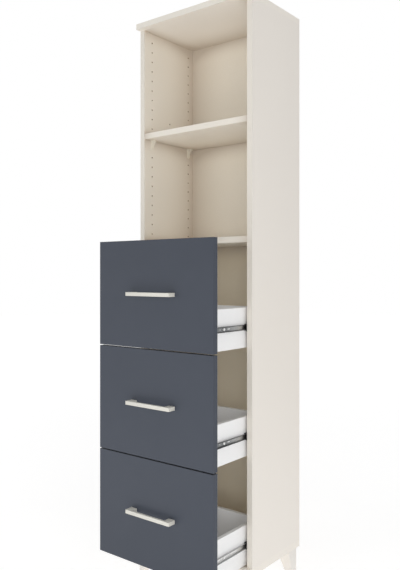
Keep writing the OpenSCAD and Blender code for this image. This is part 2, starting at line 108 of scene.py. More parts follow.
def seamNode(tree, place, layer):
    # 1 on a plane across one axis, falling to 0 over a width, such as the glue line of an edge band
    away = addNode(tree, "ShaderNodeMath", {1: layer["at"]}, operation="SUBTRACT")
    size = addNode(tree, "ShaderNodeMath", operation="ABSOLUTE")
    line = addNode(tree, "ShaderNodeMapRange", {"From Min": layer["width"], "From Max": 0.0}, clamp=True)
    wire(tree, (axisNode(tree, place, layer["axis"]), away.inputs[0]), (away.outputs[0], size.inputs[0]),
         (size.outputs[0], line.inputs["Value"]))
    return line.outputs["Result"]


def stepNode(tree, place, layer):
    # 1 past a plane across one axis, such as a front's light back, or before it where the width is negative
    start, end = layer["at"] - layer["width"], layer["at"]
    step = addNode(tree, "ShaderNodeMapRange", {"From Min": start, "From Max": end}, clamp=True)
    tree.links.new(axisNode(tree, place, layer["axis"]), step.inputs["Value"])
    return step.outputs["Result"]


def coreNode(tree, place, layer):
    # 1 inside a box, such as the chipboard under a board's skins
    middle, half = (layer["low"] + layer["high"]) / 2, (layer["high"] - layer["low"]) / 2
    away = addNode(tree, "ShaderNodeVectorMath", {1: middle}, operation="SUBTRACT")
    size = addNode(tree, "ShaderNodeVectorMath", operation="ABSOLUTE")
    room = addNode(tree, "ShaderNodeVectorMath", {0: half}, operation="SUBTRACT")
    split = addNode(tree, "ShaderNodeSeparateXYZ")
    lesser, least = [addNode(tree, "ShaderNodeMath", operation="MINIMUM") for i in range(2)]
    step = addNode(tree, "ShaderNodeMapRange", {"From Min": 0.0, "From Max": surface["coreEdge"]}, clamp=True)
    wire(tree, (place, away.inputs[0]), (away.outputs[0], size.inputs[0]), (size.outputs[0], room.inputs[1]),
         (room.outputs[0], split.inputs[0]), (split.outputs[0], lesser.inputs[0]),
         (split.outputs[1], lesser.inputs[1]), (lesser.outputs[0], least.inputs[0]),
         (split.outputs[2], least.inputs[1]), (least.outputs[0], step.inputs["Value"]))
    return step.outputs["Result"]


def cornerNode(tree, place, layer):
    # a soft shade along the cabinet's inner corners, and none on its outer faces
    shade = None
    for line in layer["lines"]:
        fade = addNode(tree, "ShaderNodeMath", {1: surface["cornerPower"]}, operation="POWER")
        tree.links.new(seamNode(tree, place, line), fade.inputs[0])
        if shade:
            joined = addNode(tree, "ShaderNodeMath", operation="ADD", use_clamp=True)
            wire(tree, (shade.outputs[0], joined.inputs[0]), (fade.outputs[0], joined.inputs[1]))
            fade = joined
        shade = fade
    inside = addNode(tree, "ShaderNodeMath", operation="MULTIPLY")
    wire(tree, (coreNode(tree, place, layer), inside.inputs[0]), (shade.outputs[0], inside.inputs[1]))
    return inside.outputs[0]


layerNodes = {"noise": patternNode, "cells": patternNode, "seam": seamNode, "step": stepNode,
              "core": coreNode, "corner": cornerNode}


def buildFinish(name, look):
    material = bpy.data.materials.new(name)
    material.use_nodes = True
    tree = material.node_tree
    shader = tree.nodes["Principled BSDF"]
    shader.inputs["Metallic"].default_value = look.get("metallic", 0.0)
    shader.inputs["Specular IOR Level"].default_value = look.get("specular", 0.5)
    shader.inputs["Coat Weight"].default_value = look.get("coat", 0.0)
    shader.inputs["Coat Roughness"].default_value = surface["coatRoughness"]
    place = addNode(tree, "ShaderNodeTexCoord").outputs["Object"]

    colour = None
    for layer in look["tones"]:
        pattern = layerNodes[layer["kind"]](tree, place, layer)
        amount = addNode(tree, "ShaderNodeMath", {1: layer["amount"]}, operation="MULTIPLY")
        mix = addNode(tree, "ShaderNodeMix", {6: look["colour"], 7: layer["colour"]}, data_type="RGBA")
        wire(tree, (pattern, amount.inputs[0]), (amount.outputs[0], mix.inputs[0]))
        if colour:
            tree.links.new(colour, mix.inputs[6])
        colour = mix.outputs[2]
    tree.links.new(colour, shader.inputs["Base Color"])

    gloss = look["gloss"]
    least, most = gloss["rough"]
    rough = addNode(tree, "ShaderNodeMapRange", {"To Min": least, "To Max": most})
    wire(tree, (patternNode(tree, place, gloss), rough.inputs["Value"]),
         (rough.outputs["Result"], shader.inputs["Roughness"]))

    normal = None
    for layer in look["relief"]:
        bump = addNode(tree, "ShaderNodeBump", {"Distance": layer["height"]})
        tree.links.new(patternNode(tree, place, layer), bump.inputs["Height"])
        if normal:
            tree.links.new(normal, bump.inputs["Normal"])
        normal = bump.outputs["Normal"]
    tree.links.new(normal, shader.inputs["Normal"])
    return material


def even(size):
    return (size, size, size)


def darker(colour, step):
    return srgb(*(v - step for v in colour))


melamine = {
    "faceSkin": 0.3 * mm,  # how deep a cored board stays cream, from its faces and from its edges
    "edgeSkin": 3.0 * mm,
    "band": 1.0 * mm,      # the banding of the front edge
    "bandBlur": 0.1 * mm,
    "glueLine": 0.12 * mm,
}
hollow = {  # the space between the sides, the top, the bottom and the back, and the shade in its corners
    "low": Vector((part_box("side_left")[1].x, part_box("side_left")[0].y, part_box("bottom_panel")[1].z)),
    "high": Vector((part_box("side_right")[0].x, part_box("back_panel")[0].y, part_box("top_panel")[0].z)),
    "skin": Vector((0.2, 0.2, 0.2)) * mm,
    "shelves": ("fixed_shelf", "adjustable_shelf"),
    "upright": 150 * mm,  # widths of the shade, here along upright corners
    "rear": 120 * mm,
    "under": 60 * mm,
    "above": 25 * mm,
    "colour": srgb(206, 195, 181),
    "amount": 0.9,
}


def innerShade(axes):
    # the corners that a board makes with boards across the named axes
    width = hollow["upright"] if "Z" in axes else hollow["under"]
    places = {
        "X": [(hollow["low"].x, width), (hollow["high"].x, width)],
        "Y": [(hollow["high"].y, width if "Z" in axes else hollow["rear"])],
        "Z": [(hollow["low"].z, hollow["above"]), (hollow["high"].z, hollow["under"])],
    }
    for shelf in hollow["shelves"]:
        low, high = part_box(shelf)
        places["Z"] += [(low.z, hollow["under"]), (high.z, hollow["above"])]
    lines = [{"axis": axis, "at": at, "width": width} for axis in axes for at, width in places[axis]]
    return {"kind": "corner", "lines": lines, "low": hollow["low"] - hollow["skin"],
            "high": hollow["high"] + hollow["skin"], "amount": hollow["amount"], "colour": hollow["colour"]}


def creamBoard(name, board, colour, band, axes, cored=False):
    # melamine board with a pearl texture and a banded front edge; cored shows raw chipboard in drilled holes
    low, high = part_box(board)
    bandEnd = low.y + melamine["band"]
    tones = [
        {"kind": "step", "axis": "Y", "at": bandEnd, "width": -melamine["bandBlur"], "amount": 1.0,
         "colour": srgb(*band)},
        {"kind": "noise", "size": even(0.35), "amount": 0.35, "colour": darker(colour, 4)},
        {"kind": "noise", "size": even(0.0011), "cut": (0.45, 0.75), "amount": 0.3,
         "colour": darker(colour, 10)},
        {"kind": "seam", "axis": "Y", "at": bandEnd, "width": melamine["glueLine"], "amount": 0.7,
         "colour": srgb(168, 160, 143)},
        innerShade(axes),
    ]
    if cored:
        skin = Vector((melamine["faceSkin"], melamine["edgeSkin"], melamine["edgeSkin"]))
        tones.append({"kind": "core", "low": low + skin, "high": high - skin, "amount": 1.0,
                      "colour": srgb(146, 121, 88)})
    return buildFinish(name, {
        "colour": srgb(*colour),
        "specular": 0.4,
        "tones": tones,
        "gloss": {"kind": "noise", "size": even(0.02), "rough": (0.42, 0.52)},
        "relief": [
            {"kind": "cells", "size": even(0.0009), "cut": (0.1, 0.8), "height": 0.02 * mm},
            {"kind": "noise", "size": even(0.0035), "height": 0.03 * mm},
        ],
    })


plating = {
    "front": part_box("top_box_rails")[0].y,
    "paintedReflectionAt": 150 * mm,  # how far behind its front end a rail has its lightest tone, a painted reflection
    "paintedReflectionRamp": 80 * mm,
    "grey": 222,           # what the sheet's own tone is mixed with in its grain
    "track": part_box("top_box_rails")[1].x - 0.6 * mm,
    "trackWidth": 2.6 * mm,
}


def zincSheet(name, colour, track):
    # plated sheet, with a painted reflection that lightens it to the rear, and painted shade along its lips
    # and ball tracks
    return buildFinish(name, {
        "colour": srgb(*colour),
        "metallic": 1.0,
        "tones": [
            # painted reflection: the rail lightens towards its rear
            {"kind": "step", "axis": "Y", "at": plating["front"] + plating["paintedReflectionAt"],
             "width": plating["paintedReflectionRamp"], "amount": 0.7, "colour": srgb(222, 222, 220)},
            {"kind": "noise", "size": (0.004, 0.09, 0.0016), "amount": 0.35,
             "colour": srgb(*((v + plating["grey"]) / 2 for v in colour))},
            {"kind": "cells", "size": even(0.004), "cut": (0.2, 0.8), "amount": 0.2, "colour": srgb(*colour)},
            # painted shade along the lips and ball tracks
            *({"kind": "seam", "axis": "X", "at": side * plating["track"], "width": plating["trackWidth"],
               "amount": 0.9, "colour": srgb(*track)} for side in walls),
        ],
        "gloss": {"kind": "noise", "size": (0.002, 0.03, 0.001), "rough": (0.26, 0.42)},
        "relief": [
            {"kind": "noise", "size": (0.0006, 0.03, 0.0006), "detail": 4.0, "height": 0.015 * mm},
        ],
    })


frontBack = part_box("top_drawer_front")[1].y - 0.05 * mm  # just inside the light back face
# painted shade: each front's top and bottom edge is drawn darker, for the shade in the gaps between the
# fronts
shadedFrontEdges = [corner.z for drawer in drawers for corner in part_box(drawer + "_drawer_front")]
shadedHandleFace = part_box("top_drawer_handle")[0].y + 1.5 * mm  # ends with the rounded edge; up to here the bar's front is painted darker than its top, ends and feet, as painted shade
shadeBehindDrawers = hollow["high"] + hollow["skin"]  # painted shade: the back panel is browner and darker up to the fixed shelf, behind the drawers
shadeBehindDrawers.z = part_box("fixed_shelf")[0].z
looks = {
    # painted light: shelf, sides and panel are one melamine, in copies whose colours are set lighter or
    # darker per board, so that each board renders at its own brightness
    "shelfCream": creamBoard("creamMelamine", "fixed_shelf", (241, 235, 224), (233, 227, 216), "XY"),
    "leftCream": creamBoard("creamMelamineLeft", "side_left", (235, 229, 218), (226, 221, 211), "YZ",
                            cored=True),
    "rightCream": creamBoard("creamMelamineRight", "side_right", (237, 231, 223), (227, 221, 211), "YZ",
                             cored=True),
    "panelCream": creamBoard("creamMelaminePanel", "top_panel", (239, 233, 224), (230, 225, 215), "XY"),
    "backCream": buildFinish("creamBackBoard", {
        "colour": srgb(244, 238, 226),
        "specular": 0.35,
        "tones": [
            {"kind": "noise", "size": even(0.25), "amount": 0.4, "colour": srgb(238, 231, 217)},
            # painted shade behind the drawers: the back panel's lower part is browner
            {"kind": "core", "low": hollow["low"] - hollow["skin"], "high": shadeBehindDrawers, "amount": 1.0,
             "colour": srgb(236, 226, 205)},
            {"kind": "noise", "size": even(0.0014), "cut": (0.4, 0.7), "amount": 0.35,
             "colour": srgb(231, 223, 206)},
            innerShade("XZ"),
        ],
        "gloss": {"kind": "noise", "size": even(0.03), "rough": (0.5, 0.6)},
        "relief": [
            {"kind": "cells", "size": even(0.0012), "cut": (0.1, 0.8), "height": 0.03 * mm},
            {"kind": "noise", "size": even(0.006), "height": 0.04 * mm},
        ],
    }),
    "slate": buildFinish("slateLacquer", {
        "colour": srgb(62, 67, 77),
        "specular": 0.25,
        "tones": [
            {"kind": "noise", "size": even(0.22), "amount": 0.35, "colour": srgb(66, 71, 81)},
            {"kind": "noise", "size": even(0.0007), "cut": (0.5, 0.75), "amount": 0.25,
             "colour": srgb(75, 80, 90)},
            # painted shade in the gaps: a dark line along each front's top and bottom edge
            *({"kind": "seam", "axis": "Z", "at": level, "width": 0.9 * mm, "amount": 1.0,
               "colour": srgb(46, 50, 58)} for level in shadedFrontEdges),
            {"kind": "step", "axis": "Y", "at": frontBack, "width": 0.1 * mm, "amount": 1.0,
             "colour": srgb(234, 234, 233)},
        ],
        "gloss": {"kind": "noise", "size": even(0.045), "detail": 2.0, "rough": (0.5, 0.54)},
        "relief": [
            {"kind": "noise", "size": even(0.0006), "height": 0.008 * mm},
            {"kind": "noise", "size": even(0.004), "height": 0.02 * mm},
        ],
    }),
    "white": buildFinish("whiteFoil", {
        "colour": srgb(243, 243, 243),
        "specular": 0.4,
        "tones": [
            {"kind": "noise", "size": even(0.15), "amount": 0.3, "colour": srgb(239, 239, 239)},
            {"kind": "noise", "size": (0.0006, 0.012, 0.0012), "cut": (0.5, 0.8), "amount": 0.3,
             "colour": srgb(232, 232, 232)},
        ],
        "gloss": {"kind": "noise", "size": even(0.02), "rough": (0.38, 0.48)},
        "relief": [
            {"kind": "noise", "size": (0.0005, 0.006, 0.0009), "height": 0.02 * mm},
        ],
    }),
    "legCream": buildFinish("creamLegLacquer", {
        "colour": srgb(233, 229, 223),
        "specular": 0.5,
        "coat": 0.1,
        "tones": [
            {"kind": "noise", "size": (0.004, 0.004, 0.09), "amount": 0.4, "colour": srgb(228, 223, 216)},
            {"kind": "noise", "size": (0.0008, 0.0008, 0.02), "cut": (0.5, 0.75), "amount": 0.35,
             "colour": srgb(222, 217, 208)},
        ],
        "gloss": {"kind": "noise", "size": (0.003, 0.003, 0.05), "rough": (0.3, 0.4)},
        "relief": [
            {"kind": "noise", "size": (0.0009, 0.0009, 0.03), "height": 0.03 * mm},
        ],
    }),
    "creamPlastic": buildFinish("creamPlastic", {
        "colour": srgb(230, 225, 212),
        "specular": 0.5,
        "tones": [
            {"kind": "noise", "size": even(0.006), "amount": 0.4, "colour": srgb(221, 215, 200)},
        ],
        "gloss": {"kind": "noise", "size": even(0.003), "rough": (0.34, 0.46)},
        "relief": [
            {"kind": "cells", "size": even(0.0005), "cut": (0.1, 0.8), "height": 0.015 * mm},
        ],
    }),
    "blackPlastic": buildFinish("blackPlastic", {
        "colour": srgb(22, 22, 23),
        "specular": 0.4,
        "tones": [
            {"kind": "noise", "size": even(0.004), "amount": 0.6, "colour": srgb(34, 34, 35)},
        ],
        "gloss": {"kind": "noise", "size": even(0.002), "rough": (0.38, 0.55)},
        "relief": [
            {"kind": "cells", "size": even(0.0004), "cut": (0.1, 0.8), "height": 0.02 * mm},
        ],
    }),
    "glidePlastic": buildFinish("wornBlackPlastic", {
        "colour": srgb(30, 30, 31),
        "specular": 0.35,
        "tones": [
            {"kind": "noise", "size": even(0.003), "detail": 6.0, "cut": (0.5, 0.7), "amount": 0.5,
             "colour": srgb(74, 73, 71)},
        ],
        "gloss": {"kind": "noise", "size": even(0.0015), "rough": (0.45, 0.75)},
        "relief": [
            {"kind": "noise", "size": even(0.0008), "detail": 6.0, "height": 0.05 * mm},
        ],
    }),
    "nickel": buildFinish("brushedNickel", {
        "colour": srgb(236, 233, 223),
        "metallic": 0.1,
        "tones": [
            # painted shade: the bar's front face is darker than its top, ends and feet
            {"kind": "step", "axis": "Y", "at": shadedHandleFace, "width": -1 * mm, "amount": 1.0,
             "colour": srgb(207, 205, 197)},
            {"kind": "noise", "size": (0.03, 0.0005, 0.0005), "amount": 0.25, "colour": srgb(204, 200, 189)},
        ],
        "gloss": {"kind": "noise", "size": (0.02, 0.0006, 0.0006), "rough": (0.34, 0.46)},
        "relief": [
            {"kind": "noise", "size": (0.025, 0.0003, 0.0003), "detail": 4.0, "height": 0.012 * mm},
        ],
    }),
    "zinc": zincSheet("zincSheet", (112, 114, 115), (48, 49, 50)),
    # painted reflection: a lighter zinc for the bottom runners, for the pale floor that they reflect
    "zincFloorReflection": zincSheet("zincSheetFloorReflection", (206, 206, 205), (112, 113, 114)),
    "screwZinc": buildFinish("screwZinc", {
        "colour": srgb(242, 242, 241),
        "metallic": 0.3,
        "tones": [
            {"kind": "noise", "size": even(0.0012), "amount": 0.5, "colour": srgb(214, 214, 212)},
        ],
        "gloss": {"kind": "noise", "size": even(0.0008), "rough": (0.26, 0.4)},
        "relief": [
            {"kind": "noise", "size": even(0.0005), "height": 0.01 * mm},
        ],
    }),
    "bearingSteel": buildFinish("bearingSteel", {
        "colour": srgb(214, 215, 217),
        "metallic": 1.0,
        "tones": [
            {"kind": "noise", "size": even(0.002), "amount": 0.4, "colour": srgb(188, 190, 193)},
        ],
        "gloss": {"kind": "noise", "size": even(0.001), "rough": (0.08, 0.18)},
        "relief": [
            {"kind": "noise", "size": even(0.0009), "height": 0.004 * mm},
        ],
    }),
    "beech": buildFinish("rawBeech", {
        "colour": srgb(205, 176, 136),
        "specular": 0.3,
        "tones": [
            {"kind": "noise", "size": (0.002, 0.002, 0.02), "amount": 0.6, "colour": srgb(178, 142, 98)},
            {"kind": "noise", "size": (0.0004, 0.0004, 0.003), "cut": (0.6, 0.7), "amount": 0.6,
             "colour": srgb(142, 106, 70)},
        ],
        "gloss": {"kind": "noise", "size": even(0.002), "rough": (0.6, 0.75)},
        "relief": [
            {"kind": "noise", "size": (0.0005, 0.0005, 0.004), "height": 0.06 * mm},
        ],
    }),
}
print("finishes built:", len(looks))


meshing = {
    "weld": 0.001 * mm,      # points closer than this are one
    "touch": 0.01 * mm,      # a point this near to a plane lies on it
    "longEdge": 1 * mm,      # an edge runs along an axis from this length
    "steps": 32,             # of a round shape
    "crease": 30,            # degrees between two faces from which their edge is a corner
    "smooth": 35,            # degrees up to which faces are shaded as one
    "nodeWeld": 0.005 * mm,  # the same for the CAD nodes that get softened edges
    "nodeCrease": 40,
}


def vertsOf(result):
    return [item for item in result["geom"] if isinstance(item, bmesh.types.BMVert)]


def closeUp(bm):
    bmesh.ops.remove_doubles(bm, verts=bm.verts, dist=meshing["weld"])
    bmesh.ops.recalc_face_normals(bm, faces=bm.faces)


def soften(bm, edges, width, segments):
    bmesh.ops.bevel(bm, geom=edges, offset=width, offset_type="OFFSET", segments=segments, profile=0.5,
                    affect="EDGES", clamp_overlap=True, material=-1)


def creases(bm, angle=meshing["crease"]):
    return [e for e in bm.edges if e.is_manifold and e.calc_face_angle() > math.radians(angle)]


def edgesAlong(bm, axis, **places):
    # the edges that run along an axis, and that lie where the other axes are given, such as z=0.1
    found = []
    for edge in bm.edges:
        start, end = [vert.co for vert in edge.verts]
        runs = abs(getattr(start, axis) - getattr(end, axis)) > meshing["longEdge"]
        away = [abs(getattr(point, key) - at) for key, at in places.items() for point in (start, end)]
        if runs and all(distance < meshing["touch"] for distance in away):
            found.append(edge)
    return found


def meshFrom(bm, name="work"):
    mesh = bpy.data.meshes.new(name)
    bm.to_mesh(mesh)
    bm.free()
    return mesh


def linked(name, data):
    item = bpy.data.objects.new(name, data)
    scene.collection.objects.link(item)
    return item


def combine(bm, tool, operation, sheet=0.0):
    # joins or cuts two closed shapes; sheet first gives a surface that thickness
    piece, helper = linked("work", meshFrom(bm)), linked("work", meshFrom(tool))
    if sheet:
        thicken = piece.modifiers.new("sheet", "SOLIDIFY")
        thicken.thickness = sheet
        thicken.offset = 0
        thicken.use_even_offset = True
    cut = piece.modifiers.new("combine", "BOOLEAN")
    cut.object = helper
    cut.operation = operation
    cut.solver = "EXACT"
    graph = bpy.context.evaluated_depsgraph_get()
    mesh = bpy.data.meshes.new_from_object(piece.evaluated_get(graph))
    done = bmesh.new()
    done.from_mesh(mesh)
    bmesh.ops.dissolve_degenerate(done, dist=meshing["weld"], edges=done.edges)
    bpy.data.meshes.remove(mesh)
    for item in (piece, helper):
        old = item.data
        bpy.data.objects.remove(item)
        bpy.data.meshes.remove(old)
    return done


def spunShape(profile, steps=meshing["steps"]):
    # turns a profile of (radius, height) points round the z axis
    bm = bmesh.new()
    line = [bm.verts.new((radius, 0, height)) for radius, height in profile]
    edges = [bm.edges.new(pair) for pair in zip(line, line[1:])]
    bmesh.ops.spin(bm, geom=line + edges, cent=(0, 0, 0), axis=(0, 0, 1), angle=math.tau, steps=steps,
                   use_merge=True)
    closeUp(bm)
    return bm


def alongAxis(point, axis):
    # takes a shape drawn along z to a point, and turns it along an axis
    turn = Vector((0, 0, 1)).rotation_difference(axis).to_matrix().to_4x4()
    return Matrix.Translation(point) @ turn


def rod(radius, start, end, axis):
    # a round cutter between two points
    bm = bmesh.new()
    bmesh.ops.create_cone(bm, cap_ends=True, segments=meshing["steps"], radius1=radius, radius2=radius,
                          depth=(end - start).length)
    bmesh.ops.transform(bm, matrix=alongAxis((start + end) / 2, axis), verts=bm.verts)
    return bm


def block(low, high):
    bm = bmesh.new()
    low, high = Vector(low), Vector(high)
    bmesh.ops.create_cube(bm, size=1.0)
    bmesh.ops.scale(bm, vec=high - low, verts=bm.verts)
    bmesh.ops.translate(bm, vec=(low + high) / 2, verts=bm.verts)
    return bm


def addTo(bm, other):
    # other's shells join bm as they are
    mesh = meshFrom(other)
    bm.from_mesh(mesh)
    bpy.data.meshes.remove(mesh)


def stamped(template, places):
    # copies of a template mesh at several places; a mirrored copy has its faces turned back
    bm = bmesh.new()
    for place in places:
        verts, faces = len(bm.verts), len(bm.faces)
        bm.from_mesh(template)
        bm.verts.ensure_lookup_table()
        bm.faces.ensure_lookup_table()
        bmesh.ops.transform(bm, matrix=place, verts=bm.verts[verts:])
        if place.determinant() < 0:
            bmesh.ops.reverse_faces(bm, faces=bm.faces[faces:])
    return bm


def finishPiece(name, bm, look, body, stands):
    mesh = meshFrom(bm, name)
    mesh.materials.append(looks[look])
    mesh.polygons.foreach_set("use_smooth", [True] * len(mesh.polygons))
    mesh.set_sharp_from_angle(angle=math.radians(meshing["smooth"]))
    piece = linked(name, mesh)
    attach(piece, body)
    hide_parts(*stands)


def solidBoxes(name):
    # lowest and highest corner of each separate solid in a CAD node, in a fixed order
    bm = bmesh.new()
    bm.from_mesh(nodes[name].data)
    bmesh.ops.remove_doubles(bm, verts=bm.verts, dist=meshing["weld"])
    bm.verts.index_update()
    seen, boxes = set(), []
    for first in bm.verts:
        if first.index in seen:
            continue
        seen.add(first.index)
        group, stack = [], [first]
        while stack:
            vert = stack.pop()
            group.append(vert.co)
            for edge in vert.link_edges:
                other = edge.other_vert(vert)
                if other.index not in seen:
                    seen.add(other.index)
                    stack.append(other)
        low = Vector([min(co[i] for co in group) for i in range(3)])
        high = Vector([max(co[i] for co in group) for i in range(3)])
        boxes.append((low, high))
    bm.free()
    return sorted(boxes, key=lambda box: [round(v, 5) for v in box[0]])  # to 0.01 mm


def dressNode(name, look, edge=None):
    # gives a CAD node its finish; edge is the width and the segments of its softened edges
    node = nodes[name]
    for slot in node.material_slots:
        slot.material = looks[look]
    if edge:
        weld = node.modifiers.new("join", "WELD")
        weld.merge_threshold = meshing["nodeWeld"]
        bevel = node.modifiers.new("soften", "BEVEL")
        bevel.width, bevel.segments = edge
        bevel.profile = 0.5
        bevel.limit_method = "ANGLE"
        bevel.angle_limit = math.radians(meshing["nodeCrease"])


# Boards keep their CAD shapes and get softened edges
boardEdges = {  # width and segments
    "carcass": (0.4 * mm, 2), "front": (0.9 * mm, 3), "box": (0.6 * mm, 2), "back": (0.3 * mm, 2),
}
carcassLooks = {
    "side_left": "leftCream", "side_right": "rightCream", "fixed_shelf": "shelfCream",
    "adjustable_shelf": "shelfCream", "top_panel": "panelCream", "bottom_panel": "panelCream",
}

for name, look in carcassLooks.items():
    dressNode(name, look, boardEdges["carcass"])
dressNode("back_panel", "backCream", boardEdges["back"])
dressNode("carcass_dowels", "beech")
dressNode("leg_bolts", "screwZinc")
for drawer in drawers:
    dressNode(drawer + "_drawer_front", "slate", boardEdges["front"])
    for wall in ("box_front", "box_left", "box_right", "box_back"):
        dressNode(f"{drawer}_{wall}", "white", boardEdges["box"])
    dressNode(drawer + "_box_floor", "white", boardEdges["back"])
    dressNode(drawer + "_ball_cages", "zinc")
    dressNode(drawer + "_cage_balls", "bearingSteel")
print("boards dressed")


# Handles: a flat bar with a block foot at each end
handle = {
    "bar": 7 * mm,
    "foot": 22 * mm,
    "corner": (1.5 * mm, 4),  # radius and segments, as in the two below
    "nook": (1.2 * mm, 3),
    "edge": (0.5 * mm, 3),
}

for drawer in drawers:
    low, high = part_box(drawer + "_drawer_handle")
    inner = low.y + handle["bar"]
    outline = [
        (low.x, high.y), (low.x, low.y), (high.x, low.y), (high.x, high.y),
        (high.x - handle["foot"], high.y), (high.x - handle["foot"], inner),
        (low.x + handle["foot"], inner), (low.x + handle["foot"], high.y),
    ]
    bm = bmesh.new()
    ring = [bm.verts.new((x, y, low.z)) for x, y in outline]
    raised = bmesh.ops.extrude_face_region(bm, geom=[bm.faces.new(ring)])
    bmesh.ops.translate(bm, vec=(0, 0, high.z - low.z), verts=vertsOf(raised))
    closeUp(bm)
    soften(bm, edgesAlong(bm, "z", y=low.y), *handle["corner"])
    soften(bm, edgesAlong(bm, "z", y=inner), *handle["nook"])
    soften(bm, creases(bm), *handle["edge"])
    finishPiece(drawer + "_handle_bar", bm, "nickel", drawer + "_drawer",
                [drawer + "_drawer_handle"])
print("handles made")


# Legs taper on their two inner faces and stand on round glides
leg = {
    "foot": 18 * mm,
    "longEdge": (1.6 * mm, 4),  # radius and segments
    "endEdge": (0.8 * mm, 2),
    "endAngle": 50,
}
glide = {
    "rim": 0.8 * mm,
    "rimRound": 0.3,  # this and the next are shares of the rim
    "topRound": 0.5,
    "pin": 1.5 * mm,
    "steps": 40,
}

for place in ("front_left", "front_right", "rear_left", "rear_right"):
    low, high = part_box("leg_" + place)
    side = 1 if place.endswith("right") else -1
    depth = 1 if place.startswith("rear") else -1
    corner = Vector((high.x if side > 0 else low.x, high.y if depth > 0 else low.y, low.z))
    bm = bmesh.new()
    square = [bm.verts.new(corner - Vector((side * a, depth * b, 0)) * leg["foot"])
              for a, b in ((0, 0), (1, 0), (1, 1), (0, 1))]
    raised = vertsOf(bmesh.ops.extrude_face_region(bm, geom=[bm.faces.new(square)]))
    bmesh.ops.translate(bm, vec=(0, 0, high.z - low.z), verts=raised)
    spread = (high.x - low.x) / leg["foot"]
    bmesh.ops.scale(bm, vec=(spread, spread, 1), space=Matrix.Translation(-corner), verts=raised)
    closeUp(bm)
    soften(bm, edgesAlong(bm, "z"), *leg["longEdge"])
    soften(bm, creases(bm, leg["endAngle"]), *leg["endEdge"])
    finishPiece("leg_tapered_" + place, bm, "legCream", "carcass", ["leg_" + place])

glideBoxes = solidBoxes("leg_glides")
radius = (glideBoxes[0][1].x - glideBoxes[0][0].x) / 2
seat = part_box("leg_front_left")[0].z
tip = glideBoxes[0][1].z
rim, rimRound, topRound = glide["rim"], glide["rim"] * glide["rimRound"], glide["rim"] * glide["topRound"]
glideTemplate = meshFrom(spunShape([
    (0, 0), (radius - rim, 0), (radius - rimRound, rimRound), (radius, rim), (radius, seat - topRound),
    (radius - topRound, seat), (glide["pin"], seat), (glide["pin"], tip - rim), (0, tip),
], glide["steps"]))
places = [Matrix.Translation(((low.x + high.x) / 2, (low.y + high.y) / 2, 0)) for low, high in glideBoxes]
finishPiece("leg_glide_pads", stamped(glideTemplate, places), "glidePlastic", "carcass",
            ["leg_glides"])
print("legs made")


# Shelf supports: a rounded wall plate, a seat and a curved web
support = {
    "wall": 2.5 * mm,
    "reach": 17 * mm,
    "width": 14 * mm,
    "drop": 8 * mm,
    "rise": 24 * mm,
    "plateRound": 0.95,        # share of half the width
    "plateSteps": 8,
    "seatCorner": (3 * mm, 5),
    "web": 9 * mm,
    "webFoot": 0.55,           # share of the drop
    "webBow": 2.2 * mm,
    "webSteps": 8,
    "pinRadius": 2.45 * mm,
    "pinLength": 9 * mm,
    "pinTaper": (1 * mm, 0.7 * mm),  # length and depth
}


def supportTemplate():
    # drawn with x from the wall, y along it, and z up from the pin
    wall, reach, half = support["wall"], support["reach"], support["width"] / 2
    drop, rise, lap = support["drop"], support["rise"], support["wall"] / 2
    plate = block((0, -half, -drop), (wall, half, rise))
    soften(plate, edgesAlong(plate, "x", z=-drop), half * support["plateRound"], support["plateSteps"])
    seatPlate = block((lap, -half, rise - wall), (reach, half, rise))
    soften(seatPlate, edgesAlong(seatPlate, "z", x=reach), *support["seatCorner"])
    bm = combine(plate, seatPlate, "UNION")

    web = bmesh.new()
    start, end = Vector((reach - wall, 0, rise - lap)), Vector((lap, 0, -drop * support["webFoot"]))
    shares = [step / support["webSteps"] for step in range(support["webSteps"] + 1)]
    bows = [Vector((1, 0, 0)) * math.sin(math.pi * share) * support["webBow"] for share in shares]
    curve = [start.lerp(end, share) - bow for share, bow in zip(shares, bows)]
    ring = [web.verts.new(co - Vector((0, support["web"] / 2, 0))) for co in curve]
    ring.append(web.verts.new((lap, -support["web"] / 2, rise - lap)))
    raised = bmesh.ops.extrude_face_region(web, geom=[web.faces.new(ring)])
    bmesh.ops.translate(web, vec=(0, support["web"], 0), verts=vertsOf(raised))
    closeUp(web)
    bm = combine(bm, web, "UNION")

    radius, length = support["pinRadius"], support["pinLength"] + lap
    long, deep = support["pinTaper"]
    pin = spunShape([(0, 0), (radius, 0), (radius, length - long), (radius - deep, length), (0, length)])
    bmesh.ops.rotate(pin, cent=(0, 0, 0), matrix=Matrix.Rotation(-math.pi / 2, 3, "Y"), verts=pin.verts)
    bmesh.ops.translate(pin, vec=(lap, 0, 0), verts=pin.verts)
    return meshFrom(combine(bm, pin, "UNION"))


def onWall(side, y, z):
    # turns a shape drawn from the wall inwards onto the left or right inner wall
    return Matrix.Translation((side * wallX, y, z)) @ Matrix.Diagonal((-side, 1, 1, 1))


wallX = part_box("fixed_shelf")[1].x
places = []
for low, high in solidBoxes("shelf_supports"):
    side = 1 if low.x > 0 else -1
    places.append(onWall(side, (low.y + high.y) / 2, high.z - support["rise"]))
finishPiece("shelf_support_set", stamped(supportTemplate(), places), "creamPlastic", "carcass",
            ["shelf_supports"])
print("shelf supports made")


# Runner rails are rolled from sheet, then get their holes
rail = {
    "sheet": 1.2 * mm,
    "bend": (0.9 * mm, 4),     # radius and segments
    # x from the wall and z from the rail's middle, in millimetres
    "cabinetPath": [(8.8, 11.2), (8.8, 12.9), (0.6, 12.9), (0.6, -12.9), (8.8, -12.9), (8.8, -11.2)],
    "boxPath": [(3.2, 8.1), (3.2, 6.4), (9.4, 6.4), (9.4, -6.4), (3.2, -6.4), (3.2, -8.1)],
    "cutDepth": (-1 * mm, 11 * mm),
    "ringHole": 42.5 * mm,     # how far it is behind the rail's front end, as the slot below
    "ringRadius": 2.25 * mm,
    "slot": 78.5 * mm,
    "slotLength": 10 * mm,
    "slotRadius": 1.6 * mm,
    "screwRadius": 1.8 * mm,
    "endPieceEdge": (0.35 * mm, 2),  # width and segments
}


